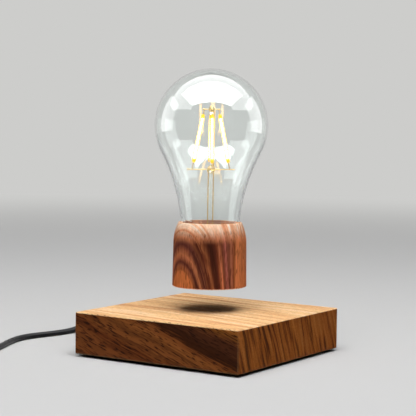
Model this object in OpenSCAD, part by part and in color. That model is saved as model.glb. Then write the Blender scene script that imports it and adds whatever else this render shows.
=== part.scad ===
// Levitating light bulb lamp: a glass bulb in a turned wooden cap floats over a square
// wooden base that holds the ring magnet, the steering coils and the power transmitter.
// Millimetres, +Z up. The origin is on the table, under the middle of the base.

/* [Wooden base] */
// Side of the square wooden base
base_side = 101; // [90:1:130]
// Height of the wooden base without its feet
base_h = 22; // [20:0.5:30]
// Wood left above the pocket, thin enough for the field to pass
base_top_wall = 3.5; // [2.5:0.1:4]
// Thickness of the wooden side walls around the pocket
base_wall = 8; // [7:0.5:9]
// Chamfer that breaks the edges of the wooden base
edge_chamfer = 0.5; // [0.2:0.1:1]
// Radius that the cutter leaves in the corners of the pocket
pocket_corner_r = 4; // [2:0.5:6]

/* [Base cover] */
// Thickness of the cover that closes the base from below
cover_t = 3; // [2.4:0.1:3.5]
// Width of the ledge in the wood that the cover lies against
cover_ledge = 4; // [3:0.5:5]
// Height of the posts that carry the control board
post_h = 1.5; // [1:0.1:2]
// Distance of the cover screws from the middle of each side
screw_x = 28; // [24:0.5:30]
// Radius of the wooden bosses that take the cover screws
boss_r = 4.5; // [4:0.1:5]
// Diameter of the cover screws
screw_d = 2.8; // [2.4:0.1:3.4]
// Length of the cover screws
screw_l = 11; // [8:0.5:14]
// Diameter of the rubber feet
foot_d = 9; // [7:0.5:11]
// Height of the rubber feet
foot_h = 1.5; // [1:0.1:3]

/* [Levitation drive] */
// Thickness of the control board
board_t = 1.6; // [1:0.1:2]
// Outer diameter of the ring magnet
ring_od = 56; // [50:1:62]
// Inner diameter of the ring magnet
ring_id = 40; // [36:0.5:44]
// Height of the ring magnet
ring_h = 7; // [5:0.5:9]
// Distance of each steering coil from the middle, along X and along Y
drive_offset = 8; // [7.2:0.1:9]
// Diameter of a steering coil's flanges
bobbin_d = 12; // [10:0.2:13.4]
// Height of a steering coil
bobbin_h = 7.8; // [6:0.2:9]
// Diameter of a steering coil's steel core
core_d = 5; // [4:0.2:6]
// Outer diameter of the transmitter winding under the top of the base
transmit_od = 60; // [50:1:64]
// Inner diameter of the transmitter winding
transmit_id = 32; // [26:1:40]
// Thickness of the transmitter winding
transmit_t = 1.4; // [1:0.1:1.6]
// Width of the power socket
jack_w = 9; // [8:0.5:10]
// Height of the power socket
jack_h = 10; // [9:0.2:10.4]
// Depth of the power socket
jack_l = 13.8; // [12.5:0.1:14.5]
// Diameter of the smoothing capacitors
capacitor_d = 8; // [6:0.5:9]
// Height of the smoothing capacitors
capacitor_h = 9; // [6:0.5:11]
// Diameter of the touch sensor's spring
touch_d = 7; // [5:0.5:8]
// Turns of the touch sensor's spring
touch_turns = 5; // [4:1:7]

/* [Floating cap] */
// Air between the base and the floating bulb
float_gap = 13; // [8:0.5:20]
// Height of the wooden cap
cap_h = 34; // [31:0.5:44]
// Diameter of the wooden cap at its foot
cap_d = 39.4; // [36:0.2:44]
// How much narrower the cap is at the start of its shoulder
cap_taper = 0.6; // [0.2:0.1:1]
// Radius of the turned shoulder
shoulder_r = 24; // [14:0.5:30]
// Thickness of the cap's wall around its lower chamber
cap_wall = 3.3; // [3:0.1:3.6]
// Depth of the seat for the glass
seat_depth = 11; // [9:0.5:13]
// Thickness of the web that carries the glass
web_t = 3; // [2:0.5:4]
// Width of the thin lip around the glass
lip_w = 0.75; // [0.5:0.05:1.2]
// Thickness of the disc that closes the cap from below
disc_t = 2; // [1.5:0.1:3]
// Diameter of the floating magnet
magnet_d = 20; // [16:0.5:22]
// Height of the floating magnet
magnet_h = 7; // [5:0.5:8]
// Height of the receiver coil's former
former_h = 9; // [8:0.5:10]
// Thickness of the rectifier board
rectifier_t = 1.2; // [0.8:0.1:1.6]

/* [Glass bulb] */
// Diameter of the round part of the glass
globe_d = 60; // [52:1:80]
// Diameter of the glass neck where it stands in the cap
neck_d = 30.4; // [29:0.2:30.6]
// Height of the globe's middle above the narrowest part of the neck
neck_drop = 60; // [54:1:80]
// Thickness of the glass
glass_t = 1; // [0.7:0.1:1.4]
// Clearance between the glass and the lip of the cap
glass_gap = 0.35; // [0.25:0.05:0.5]

/* [Filament mount] */
// Diameter of the glass rod that carries the filaments
rod_d = 1.6; // [1.2:0.1:1.8]
// Diameter of the two lead wires beside the rod
lead_d = 0.5; // [0.4:0.05:0.6]
// Diameter of the support wires
support_d = 0.44; // [0.36:0.02:0.6]
// Height of the upper supports above the globe's middle
upper_support_z = 8.6; // [6:0.2:12]
// Depth of the lower supports below the globe's middle
lower_support_z = 23; // [20:0.5:26]
// Diameter of an LED filament
filament_d = 1.9; // [1.4:0.1:2.4]
// Length of an LED filament
filament_l = 26; // [22:0.5:28]
// Radius of the cage at the upper supports
cage_top_r = 3.8; // [3.2:0.1:6]
// Radius of the cage at the lower supports
cage_bottom_r = 10; // [7:0.1:12]
// Turn of the filament cage about the bulb's axis, in degrees
cage_turn = 37; // [0:1:90]

/* [Power lead] */
// Diameter of the power cord
cord_d = 3.2; // [2.6:0.1:3.6]
// Diameter of the plug's moulded body
plug_d = 9.8; // [8.6:0.2:10]
// Length of the plug outside the base
plug_out = 14; // [12:0.5:18]
// Diameter of the plug's metal barrel
barrel_d = 5.5; // [4.5:0.1:5.5]
// Length of the plug's metal barrel
barrel_l = 9.5; // [8:0.5:10]
// Length of the plug's strain relief
relief_l = 13; // [12:0.5:13]
// Turns of cord in the tied coil
coil_turns = 9.25; // [7.25:1:11.25]
// Radius of the outermost turn, at the middle of the cord
coil_r = 22; // [20:0.5:24]
// Clear space between neighbouring turns
coil_space = 0.5; // [0.45:0.05:0.7]
// Width of the strap that ties the coil
tie_w = 8; // [6:0.5:10]
// Thickness of the strap that ties the coil
tie_t = 1; // [0.8:0.1:1.2]

/* [Wall adapter] */
// Width of the adapter
adapter_w = 32; // [30:1:36]
// Length of the adapter
adapter_l = 50; // [46:1:56]
// Height of the adapter as it lies on its back
adapter_h = 25; // [23:0.5:27]
// Height of the adapter's lid, which carries the pins
adapter_lid_h = 6; // [5:0.5:8]
// Radius of the adapter's upright edges
adapter_corner_r = 5; // [3:0.5:7]
// Diameter of the adapter's round pins
pin_d = 4; // [4:0.1:4.8]
// Length of the adapter's round pins
pin_l = 19; // [17:0.5:19]
// Length of the insulating sleeve on each pin
pin_sleeve_l = 10; // [8:0.5:11]
// Diameter of the insulating sleeve on each pin
pin_sleeve_d = 3.4; // [3:0.1:3.6]
// Distance between the adapter's pins
pin_pitch = 19; // [17:0.5:20]

/* [Hidden] */
$fn = 64;

// Small sizes that several pieces share
fit = 0.2;
slack = 0.3;
hair = 0.05;
over = 1;
groove = 0.5;

// Colours of the finishes
walnut = "#9a5c34";
cap_wood = "#8a4a2c";
black_plastic = "#1c1c1e";
rubber = "#232323";
steel = "#b8bcc0";
magnet_grey = "#6a6c70";
nylon = "#e4e0d4";
copper = "#b5652d";
board_green = "#1f5a3a";
clear_glass = "#dfe8ea";
phosphor = "#ffd76a";
brass = "#c9a24a";

// Levels and widths of the base
base_top = foot_h + base_h;
ceiling = base_top - base_top_wall;
cover_top = foot_h + cover_t;
board_z = cover_top + post_h;
board_top = board_z + board_t;
pocket_side = base_side - 2*base_wall;
cover_side = pocket_side + 2*cover_ledge;
screw_y = pocket_side/2 - boss_r + groove;
screw_head_rim = 1.5;
screw_head_r = screw_d/2 + screw_head_rim;
screw_head_h = 1.7;
foot_inset = 3;
foot_at = cover_side/2 - foot_d/2 - foot_inset;
board_edge = 1;
board_l = pocket_side - 2*board_edge;
board_w = 2*(screw_y - boss_r - board_edge);
post_inset = 4;
post_x = board_l/2 - post_inset;
post_y = 14;
post_r = 2.5;
board_screw_r = 0.75;
board_screw_bite = 1;
flange_t = 1;
bobbin_wall = 0.8;
winding_inset = 0.5;
carrier_t = 0.8;
carrier_rim = 1;
touch_inset = [7, 7.5];
touch_at = [touch_inset.x - board_l/2, touch_inset.y - board_w/2];
touch_pad_rim = 1;
touch_pad_t = 0.3;
touch_wire_d = 0.8;

// The power socket and the plug share one axis along X
inner_wall_x = -pocket_side/2;
jack_inset = 2.5;
jack_y = board_w/2 - jack_w/2 - jack_inset;
jack_z = board_top + jack_h/2;
jack_front = inner_wall_x + fit;
jack_pin_r = 0.95;
plug_hole_d = plug_d + 4*slack;
plug_front = inner_wall_x - fit;
plug_back = -base_side/2 - plug_out;
relief_end = plug_back - relief_l;
relief_wall = 0.5;
relief_tip_r = cord_d/2 + relief_wall;
relief_taper = 1.4;

// Levels and radii of the floating bulb
cap_z = base_top + float_gap;
web_top = cap_h - seat_depth;
globe_r = globe_d/2;
neck_r = neck_d/2;
seat_sink = 2;
globe_z = cap_z + web_top + seat_sink + neck_drop;
reverse_r = (neck_drop*neck_drop - globe_r*globe_r + neck_r*neck_r) / (2*(globe_r - neck_r));
rim_rise = cap_h - web_top - seat_sink;
bore_r = neck_r + reverse_r - sqrt(reverse_r*reverse_r - rim_rise*rim_rise) + glass_gap;
rim_r = bore_r + lip_w;
shoulder_top = cap_d/2 - cap_taper/2;
shoulder_in = shoulder_top - rim_r;
shoulder_h = sqrt(2*shoulder_r*shoulder_in - shoulder_in*shoulder_in);
chamber_r = cap_d/2 - cap_wall;
disc_ledge = 1.2;
disc_r = chamber_r + disc_ledge;
web_hole_r = 6;
former_wall = 0.8;
former_in = magnet_d/2 + slack;
former_out = former_in + former_wall;
rectifier_z = cap_z + disc_t + former_h;

// The filament mount, measured from the table
stem_z = cap_z + web_top;
flare_t = 2;
flare_rise = 4;
upper_z = globe_z + upper_support_z;
lower_z = globe_z - lower_support_z;
upper_bead_r = 1.6;
lower_bead_r = 2.3;
lead_at = rod_d/2 + lead_d/2 + slack;
lead_turn = 33;
cage_height = upper_z - lower_z;
cage_spread = cage_bottom_r - cage_top_r;
cage_length = norm([cage_height, cage_spread]);
cage_tilt = atan2(cage_spread, cage_height);
filament_raise = 0.5;
filament_from = (cage_length - filament_l)/2 - filament_raise;
loop_r = 0.9;

// The adapter lies beside the coil, with its cord at its near end
adapter_at = [-152, -55];
adapter_end = adapter_at.y - adapter_l/2;
adapter_tip = adapter_end - relief_l;
adapter_cord_z = adapter_h/2;
adapter_bevel = 1.2;
pin_sunk = 4;

// The coil lies just past the place where the cord leaves the picture
coil_at = [-110, -94];
coil_pitch = cord_d + coil_space;
coil_layers = 4;
coil_steps = 24;
coil_sides = 6;
cord_sides = 8;
layer_turns = coil_turns/coil_layers;
coil_floor = tie_t + slack + cord_d/2;

// Route of the cord from the plug to the coil, and from the coil to the adapter
lead_route = [
    [-82, 26, 12.6], [-88, 25.4, 11.2], [-93.4, 22.6, 8], [-97.4, 17.6, 4.6], [-99.8, 11, 2.2],
    [-100.6, 4, 1.6], [-101.4, -3, 1.6], [-103, -10, 1.6], [-105, -17, 1.6], [-106.2, -24, 1.6],
    [-105.8, -31, 1.6], [-104, -38, 1.6], [-101.4, -45, 1.6], [-98.4, -52, 1.6], [-95.4, -59, 1.6],
    [-92.6, -66, 1.6], [-90, -73, 1.7], [-88.4, -80, 2.4], [-88, -86, 2.9]
];
tail_route = [
    [-117, -116, 14], [-123, -116, 13], [-130, -116, 10.6], [-136.6, -115, 8.4], [-142.4, -112.4, 7.4],
    [-147, -108.4, 8], [-150.2, -103.6, 10], [-151.7, -99.6, 11.9], [-152, -96.6, 12.5]
];

function unit(v) = v/norm(v);

// Distance wound inwards from the outer turn, which rises and falls from layer to layer
function wound_in(t) =
    let (layer = floor(t/layer_turns), part = t - layer*layer_turns)
    layer % 2 == 0 ? part : layer_turns - part;

function ease(x) = let (c = min(max(x, 0), 1)) c*c*(3 - 2*c);

// Layers climbed, each within the half turn where the spiral reverses
function climbed(t) =
    ease((t - layer_turns)*2 + 0.5) + ease((t - 2*layer_turns)*2 + 0.5)
    + ease((t - 3*layer_turns)*2 + 0.5);

function coil_point(t) =
    let (r = coil_r - coil_pitch*wound_in(t))
    [coil_at.x + r*cos(-360*t), coil_at.y + r*sin(-360*t), coil_floor + coil_pitch*climbed(t)];

coil_count = round(coil_turns*coil_steps);
coil_turn_points = [for (i = [0:coil_count]) coil_point(coil_turns*i/coil_count)];
coil_exit_turn = -360*coil_turns - 90;
coil_start = coil_turn_points[0] + [0, cord_d, 0];
coil_finish = coil_turn_points[coil_count] + cord_d*[cos(coil_exit_turn), sin(coil_exit_turn), 0];
coil_path = concat([coil_start], coil_turn_points, [coil_finish]);
lead_path = concat([[relief_end, jack_y, jack_z]], lead_route, [coil_start]);
tail_path = concat([coil_finish], tail_route, [[adapter_at.x, adapter_tip, adapter_cord_z]]);

function least_gap(p, skip) = min([
    for (i = [0:len(p) - 1 - skip]) for (j = [i + skip:len(p) - 1]) norm(p[i] - p[j])
]) - cord_d;
function path_length(p, i = 0) = i >= len(p) - 1 ? 0 : norm(p[i + 1] - p[i]) + path_length(p, i + 1);

echo(coil_least_gap = least_gap(coil_turn_points, coil_steps/2));
echo(cord_length = path_length(lead_path) + path_length(coil_path) + path_length(tail_path));

function along(p, i) = unit(p[min(i + 1, len(p) - 1)] - p[max(i - 1, 0)]);
function ring(p, i, r, sides) =
    let (t = along(p, i), side = unit(cross(t, [0, 0, 1])), up = cross(side, t))
    [for (k = [0:sides - 1]) p[i] + r*(side*cos(360*k/sides) + up*sin(360*k/sides))];

// One closed tube swept along a list of points
module tube(p, d, sides) {
    last = len(p) - 1;
    points = [for (i = [0:last]) each ring(p, i, d/2, sides)];
    walls = [
        for (i = [0:last - 1]) for (k = [0:sides - 1])
        let (a = i*sides + k, b = i*sides + (k + 1) % sides)
        each [[a, b, b + sides], [a, b + sides, a + sides]]
    ];
    start = [for (k = [1:sides - 2]) [0, k + 1, k]];
    finish = [for (k = [1:sides - 2]) [last*sides, last*sides + k, last*sides + k + 1]];
    polyhedron(points, concat(walls, start, finish), convexity = 10);
}

// Straight round rod between two points
module rod(a, b, d) {
    v = b - a;
    translate(a) rotate([0, acos(v.z/norm(v)), atan2(v.y, v.x)]) cylinder(d = d, h = norm(v));
}

// Ring of square section
module washer(od, id, h) {
    rotate_extrude() translate([id/2, 0]) square([(od - id)/2, h]);
}

// Square with round corners
module round_rect(w, l, r) {
    square([w - 2*r, l], center = true);
    square([w, l - 2*r], center = true);
    for (x = [-1, 1], y = [-1, 1]) translate([x*(w/2 - r), y*(l/2 - r)]) circle(r);
}

// Square with its corners cut off at 45 degrees
module cut_rect(w, l, c) {
    x = w/2;
    y = l/2;
    polygon([
        [c - x, -y], [x - c, -y], [x, c - y], [x, y - c],
        [x - c, y], [c - x, y], [-x, y - c], [-x, c - y]
    ]);
}

// Block with every edge chamfered
module chamfered_block(w, l, h, c) {
    intersection() {
        linear_extrude(h) cut_rect(w, l, c);
        translate([0, l/2, h/2]) rotate([90, 0, 0]) linear_extrude(l) cut_rect(w, h, c);
        translate([-w/2, 0, h/2]) rotate([90, 0, 90]) linear_extrude(w) cut_rect(l, h, c);
    }
}

module four_ways(x, y) {
    for (sx = [-1, 1], sy = [-1, 1]) translate([sx*x, sy*y, 0]) children();
}

// Turns a piece drawn along +Z to lie along -X, on the axis of the power socket
module on_socket_axis(x) {
    translate([x, jack_y, jack_z]) rotate([0, -90, 0]) children();
}

module base_block() {
    color(walnut) difference() {
        translate([0, 0, foot_h]) chamfered_block(base_side, base_side, base_h, edge_chamfer);
        translate([0, 0, foot_h - over]) linear_extrude(cover_t + over) {
            square(cover_side + 2*fit, center = true);
        }
        translate([0, 0, foot_h]) linear_extrude(ceiling - foot_h) difference() {
            round_rect(pocket_side, pocket_side, pocket_corner_r);
            four_ways(screw_x, screw_y) circle(boss_r);
        }
        four_ways(screw_x, screw_y) translate([0, 0, foot_h]) {
            cylinder(d = screw_d + 2*hair, h = screw_l + over);
        }
        on_socket_axis(inner_wall_x + over) cylinder(d = plug_hole_d, h = base_wall + 2*over);
    }
}

module base_cover() {
    color(black_plastic) difference() {
        union() {
            translate([0, 0, foot_h]) linear_extrude(cover_t) square(cover_side, center = true);
            four_ways(post_x, post_y) translate([0, 0, foot_h]) cylinder(r = post_r, h = cover_t + post_h);
        }
        four_ways(screw_x, screw_y) translate([0, 0, foot_h - over]) {
            cylinder(d = screw_d + slack, h = cover_t + 2*over);
            cylinder(r = screw_head_r + fit, h = over);
            translate([0, 0, over]) cylinder(r1 = screw_head_r + fit, r2 = screw_d/2 + fit, h = screw_head_h);
        }
        four_ways(post_x, post_y) translate([0, 0, cover_top - board_screw_bite - over]) {
            cylinder(r = board_screw_r + hair, h = post_h + board_screw_bite + 2*over);
        }
    }
}

module cover_screws() {
    drive_r = 1.1;
    drive_depth = 1;
    tip = 1;
    color(steel) four_ways(screw_x, screw_y) translate([0, 0, foot_h]) difference() {
        rotate_extrude() polygon([
            [0, 0], [screw_head_r, 0], [screw_d/2, screw_head_h], [screw_d/2, screw_l - tip], [0, screw_l]
        ]);
        translate([0, 0, -over]) cylinder(r = drive_r, h = drive_depth + over, $fn = 6);
    }
}

module base_feet() {
    bevel = 0.4;
    color(rubber) four_ways(foot_at, foot_at) rotate_extrude() polygon([
        [0, 0], [foot_d/2 - bevel, 0], [foot_d/2, bevel], [foot_d/2, foot_h], [0, foot_h]
    ]);
}

module control_board() {
    color(board_green) translate([0, 0, board_z]) difference() {
        linear_extrude(board_t) square([board_l, board_w], center = true);
        four_ways(post_x, post_y) translate([0, 0, -over]) {
            cylinder(r = board_screw_r + fit, h = board_t + 2*over);
        }
    }
}

module board_screws() {
    head_r = 1.7;
    head_h = 1.3;
    tip_z = -board_t - post_h - board_screw_bite;
    color(steel) four_ways(post_x, post_y) translate([0, 0, board_top]) {
        rotate_extrude() polygon([
            [0, tip_z], [board_screw_r, tip_z], [board_screw_r, 0],
            [head_r, 0], [head_r, head_h/2], [head_r/2, head_h], [0, head_h]
        ]);
    }
}

module ring_magnet() {
    bevel = 0.5;
    color(magnet_grey) translate([0, 0, board_top]) rotate_extrude() polygon([
        [ring_id/2 + bevel, 0], [ring_od/2 - bevel, 0], [ring_od/2, bevel], [ring_od/2, ring_h - bevel],
        [ring_od/2 - bevel, ring_h], [ring_id/2 + bevel, ring_h],
        [ring_id/2, ring_h - bevel], [ring_id/2, bevel]
    ]);
}

module coil_bobbins() {
    bore_d = core_d + fit;
    color(nylon) four_ways(drive_offset, drive_offset) translate([0, 0, board_top]) difference() {
        union() {
            cylinder(d = bobbin_d, h = flange_t);
            cylinder(d = bore_d + 2*bobbin_wall, h = bobbin_h);
            translate([0, 0, bobbin_h - flange_t]) cylinder(d = bobbin_d, h = flange_t);
        }
        translate([0, 0, -over]) cylinder(d = bore_d, h = bobbin_h + 2*over);
    }
}

module coil_windings() {
    color(copper) four_ways(drive_offset, drive_offset) translate([0, 0, board_top + flange_t + fit/2]) {
        washer(bobbin_d - 2*winding_inset, core_d + 2*bobbin_wall + 2*fit, bobbin_h - 2*flange_t - fit);
    }
}

module coil_cores() {
    color(steel) four_ways(drive_offset, drive_offset) translate([0, 0, board_top]) {
        cylinder(d = core_d, h = bobbin_h);
    }
}

module hall_sensors() {
    sensor_x = 2.2;
    leg = 0.5;
    leg_h = 4;
    leg_pitch = 1.27;
    body_r = 2.2;
    body_t = 1.6;
    body_h = 3.4;
    color(black_plastic) for (side = [-1, 1]) translate([side*sensor_x, 0, board_top]) {
        translate([0, 0, leg_h]) linear_extrude(body_h) intersection() {
            circle(body_r);
            square([body_t, 2*body_r], center = true);
        }
        for (i = [-1, 0, 1]) translate([-leg/2, i*leg_pitch - leg/2, 0]) cube([leg, leg, leg_h]);
    }
}

module driver_chips() {
    chip = [4, 5, 1.5];
    chip_lift = 0.2;
    chip_inset = 4.5;
    chip_y = 4;
    leg = [6, 0.4, 0.4];
    leg_pitch = 1.27;
    legs = 4;
    color(black_plastic) for (side = [-1, 1]) translate([board_l/2 - chip_inset, side*chip_y, board_top]) {
        translate([-chip.x/2, -chip.y/2, chip_lift]) cube(chip);
        for (i = [0:legs - 1]) translate([-leg.x/2, (i - (legs - 1)/2)*leg_pitch - leg.y/2, 0]) cube(leg);
    }
}

module power_capacitors() {
    inset = [8, 7.5];
    bead_z = 1.5;
    r = capacitor_d/2;
    color(black_plastic) for (side = [-1, 1]) {
        translate([board_l/2 - inset.x, side*(board_w/2 - inset.y), board_top]) rotate_extrude() polygon([
            [0, 0], [r, 0], [r, bead_z - groove], [r - groove, bead_z], [r, bead_z + groove],
            [r, capacitor_h - groove], [r - groove, capacitor_h], [0, capacitor_h]
        ]);
    }
}

module transmit_coil() {
    color(copper) translate([0, 0, ceiling - transmit_t]) washer(transmit_od, transmit_id, transmit_t);
}

module coil_carrier() {
    color(nylon) translate([0, 0, ceiling - transmit_t - carrier_t]) {
        washer(transmit_od + 2*carrier_rim, transmit_id - 2*carrier_rim, carrier_t);
    }
}

module touch_pad() {
    color(brass) translate([touch_at.x, touch_at.y, ceiling - touch_pad_t]) {
        cylinder(d = touch_d + 2*touch_pad_rim, h = touch_pad_t);
    }
}

// The spring stands on the board and presses the pad against the wood
module touch_spring() {
    r = (touch_d - touch_wire_d)/2;
    steps = 8;
    foot = board_top + touch_wire_d/2;
    rise = ceiling - touch_pad_t - touch_wire_d - board_top;
    count = touch_turns*steps;
    path = [for (i = [0:count]) [
        touch_at.x + r*cos(360*i/steps), touch_at.y + r*sin(360*i/steps), foot + rise*i/count
    ]];
    color(steel) tube(path, touch_wire_d, coil_sides);
}

module dc_jack() {
    bore_d = barrel_d + 2*slack;
    bevel = 1.2;
    color(black_plastic) difference() {
        translate([jack_front, jack_y, board_top + jack_h/2]) rotate([90, 0, 90]) {
            linear_extrude(jack_l) cut_rect(jack_w, jack_h, bevel);
        }
        on_socket_axis(jack_front + barrel_l + over) cylinder(d = bore_d, h = barrel_l + 2*over);
    }
}

module jack_pin() {
    color(steel) on_socket_axis(jack_front + barrel_l + over) cylinder(r = jack_pin_r, h = barrel_l);
}

module float_magnet() {
    bevel = 0.4;
    color(steel) translate([0, 0, cap_z + disc_t + fit]) rotate_extrude() polygon([
        [0, 0], [magnet_d/2 - bevel, 0], [magnet_d/2, bevel], [magnet_d/2, magnet_h - bevel],
        [magnet_d/2 - bevel, magnet_h], [0, magnet_h]
    ]);
}

// Half section of the turned cap: a tapered wall that rolls over into a thin lip
module cap_section() {
    foot_bevel = 0.4;
    side_h = cap_h - shoulder_h;
    difference() {
        union() {
            polygon([
                [0, 0], [cap_d/2 - foot_bevel, 0], [cap_d/2, foot_bevel], [shoulder_top, side_h], [0, side_h]
            ]);
            intersection() {
                translate([shoulder_top - shoulder_r, side_h]) circle(shoulder_r);
                translate([bore_r - over, side_h - over]) square([cap_d, shoulder_h + over]);
            }
        }
        square([disc_r + 2*hair, disc_t]);
        square([chamber_r, web_top - web_t]);
        square([web_hole_r, cap_h]);
        translate([0, web_top]) square([bore_r, cap_h]);
    }
}

module wood_cap() {
    color(cap_wood) translate([0, 0, cap_z]) rotate_extrude() cap_section();
}

module cap_disc() {
    color(black_plastic) translate([0, 0, cap_z]) cylinder(r = disc_r, h = disc_t);
}

module receive_former() {
    color(nylon) translate([0, 0, cap_z + disc_t]) rotate_extrude() {
        translate([former_in, 0]) square([former_wall, former_h]);
        translate([former_in, 0]) square([chamber_r - fit - former_in, former_wall]);
        translate([former_in, former_h - former_wall]) square([chamber_r - fit - former_in, former_wall]);
    }
}

module receive_coil() {
    color(copper) translate([0, 0, cap_z + disc_t + former_wall + fit/2]) {
        washer(2*(chamber_r - 2*fit), 2*(former_out + 2*hair), former_h - 2*former_wall - fit);
    }
}

module rectifier_board() {
    hole_r = lead_d/2 + 2*hair;
    color(board_green) translate([0, 0, rectifier_z]) difference() {
        cylinder(r = chamber_r - 2*fit, h = rectifier_t);
        rotate([0, 0, lead_turn]) for (side = [-1, 1]) translate([side*lead_at, 0, -over]) {
            cylinder(r = hole_r, h = rectifier_t + 2*over);
        }
    }
}

module rectifier_parts() {
    can_d = 4;
    can_h = 3.2;
    can_at = [8, 4];
    chip = [5, 4, 1.5];
    chip_at = [6, -6];
    color(black_plastic) translate([0, 0, rectifier_z + rectifier_t]) {
        for (side = [-1, 1]) {
            translate([side*can_at.x, can_at.y, 0]) cylinder(d = can_d, h = can_h);
            translate([side*chip_at.x - chip.x/2, chip_at.y - chip.y/2, 0]) cube(chip);
        }
    }
}

// Half section of the envelope: a globe, the long reverse curve and the straight end of the neck
module envelope_section(inset) {
    r = globe_r - inset;
    big = reverse_r + inset;
    n = neck_r - inset;
    joint = r/(globe_r + reverse_r);
    joint_z = -neck_drop*joint;
    joint_r = (neck_r + reverse_r)*joint;
    intersection() {
        circle(r, $fn = 128);
        translate([0, joint_z]) square(2*globe_r);
    }
    difference() {
        translate([0, -neck_drop]) square([joint_r, neck_drop + joint_z]);
        translate([neck_r + reverse_r, -neck_drop]) circle(big, $fn = 256);
    }
    translate([0, -neck_drop - seat_sink]) square([n, seat_sink]);
}

module glass_globe() {
    color(clear_glass, 0.3) translate([0, 0, globe_z]) rotate_extrude() intersection() {
        difference() {
            envelope_section(0);
            envelope_section(glass_t);
        }
        translate([0, -2*neck_drop]) square(4*neck_drop);
    }
}

// The flare closes the neck, and the rod above it carries a bead for each set of supports
module glass_stem() {
    flare_r = neck_r - glass_t - fit;
    lead_hole_r = lead_d/2 + 2*hair;
    press_r = 4;
    press_top_r = 2;
    color(clear_glass, 0.5) difference() {
        union() {
            translate([0, 0, stem_z]) cylinder(r = flare_r, h = flare_t);
            translate([0, 0, stem_z + flare_t]) cylinder(r1 = press_r, r2 = press_top_r, h = flare_rise);
            translate([0, 0, stem_z]) cylinder(d = rod_d, h = upper_z - stem_z);
            translate([0, 0, lower_z]) sphere(lower_bead_r);
            translate([0, 0, upper_z]) sphere(upper_bead_r);
        }
        rotate([0, 0, lead_turn]) for (side = [-1, 1]) translate([side*lead_at, 0, stem_z - over]) {
            cylinder(r = lead_hole_r, h = (side < 0 ? lower_z : upper_z) - stem_z + over);
        }
    }
}

module neck_cement() {
    color(nylon) translate([0, 0, stem_z]) washer(2*(bore_r - hair), 2*(neck_r + hair), seat_sink);
}

module lead_wires() {
    color(steel) rotate([0, 0, lead_turn]) for (side = [-1, 1]) {
        translate([side*lead_at, 0, rectifier_z]) {
            cylinder(d = lead_d, h = (side < 0 ? lower_z : upper_z) - rectifier_z - fit);
        }
    }
}

module each_filament() {
    for (k = [0:3]) rotate([0, 0, cage_turn + 90*k]) children();
}

module upper_supports() {
    color(steel) each_filament() {
        rod([upper_bead_r + hair, 0, upper_z], [cage_top_r + support_d, 0, upper_z], support_d);
        translate([cage_top_r + support_d, 0, upper_z]) sphere(support_d);
    }
}

module lower_supports() {
    color(steel) each_filament() {
        rod([lower_bead_r + hair, 0, lower_z], [cage_bottom_r + loop_r, 0, lower_z], support_d);
        translate([cage_bottom_r + 2*loop_r, 0, lower_z]) rotate_extrude() {
            translate([loop_r, 0]) circle(d = support_d);
        }
    }
}

// Places a piece along the line of one filament, measured from its upper support
module on_filament(distance) {
    translate([cage_top_r, 0, upper_z]) rotate([0, 180 - cage_tilt, 0]) {
        translate([0, 0, distance]) children();
    }
}

module led_filaments() {
    r = filament_d/2;
    color(phosphor) each_filament() on_filament(filament_from) rotate_extrude() {
        translate([0, r]) square([r, filament_l - 2*r]);
        intersection() {
            union() {
                translate([0, r]) circle(r);
                translate([0, filament_l - r]) circle(r);
            }
            square([r, filament_l]);
        }
    }
}

module filament_tails() {
    gap = support_d/2 + hair;
    color(brass) each_filament() {
        on_filament(gap) cylinder(d = support_d, h = filament_from - gap - hair);
        on_filament(filament_from + filament_l + hair) {
            cylinder(d = support_d, h = cage_length - filament_from - filament_l - gap - hair);
        }
    }
}

module dc_plug() {
    r = plug_d/2;
    length = plug_front - plug_back;
    tail_r = relief_tip_r + relief_taper + fit;
    tail_l = 2;
    plain_l = 3;
    ribs = 4;
    rib_step = 2;
    first = length - plain_l - ribs*rib_step;
    color(black_plastic) on_socket_axis(plug_front) {
        rotate_extrude() polygon(concat(
            [[0, 0], [r - groove, 0], [r, groove]],
            [for (i = [0:ribs - 1]) each [
                [r, first + i*rib_step], [r - groove, first + i*rib_step + groove],
                [r - groove, first + i*rib_step + 2*groove], [r, first + i*rib_step + 3*groove]
            ]],
            [[r, length - tail_l], [tail_r, length], [0, length]]
        ));
    }
}

module plug_barrel() {
    color(steel) on_socket_axis(plug_front + barrel_l) washer(barrel_d, 2*(jack_pin_r + fit), barrel_l);
}

// Tapered sleeve with ring grooves, drawn along +Z from its thick end
module relief_sleeve() {
    thick_r = relief_tip_r + relief_taper;
    plain_l = 2;
    tip_l = 1;
    rib_w = 1.3;
    rib_slope = 0.3;
    ribs = 4;
    rib_step = (relief_l - plain_l - tip_l)/ribs;
    function taper(z) = thick_r + (relief_tip_r - thick_r)*z/relief_l;
    rotate_extrude() polygon(concat(
        [[0, 0], [thick_r, 0]],
        [for (i = [0:ribs - 1]) let (z = plain_l + i*rib_step) each [
            [taper(z), z], [taper(z) - groove, z + rib_slope],
            [taper(z) - groove, z + rib_w - rib_slope], [taper(z), z + rib_w]
        ]],
        [[relief_tip_r, relief_l], [0, relief_l]]
    ));
}

module plug_relief() {
    color(rubber) on_socket_axis(plug_back) relief_sleeve();
}

module cord_lead() {
    color(rubber) tube(lead_path, cord_d, cord_sides);
}

module cord_coil() {
    color(rubber) tube(coil_path, cord_d, coil_sides);
}

module cord_tail() {
    color(rubber) tube(tail_path, cord_d, cord_sides);
}

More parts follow.
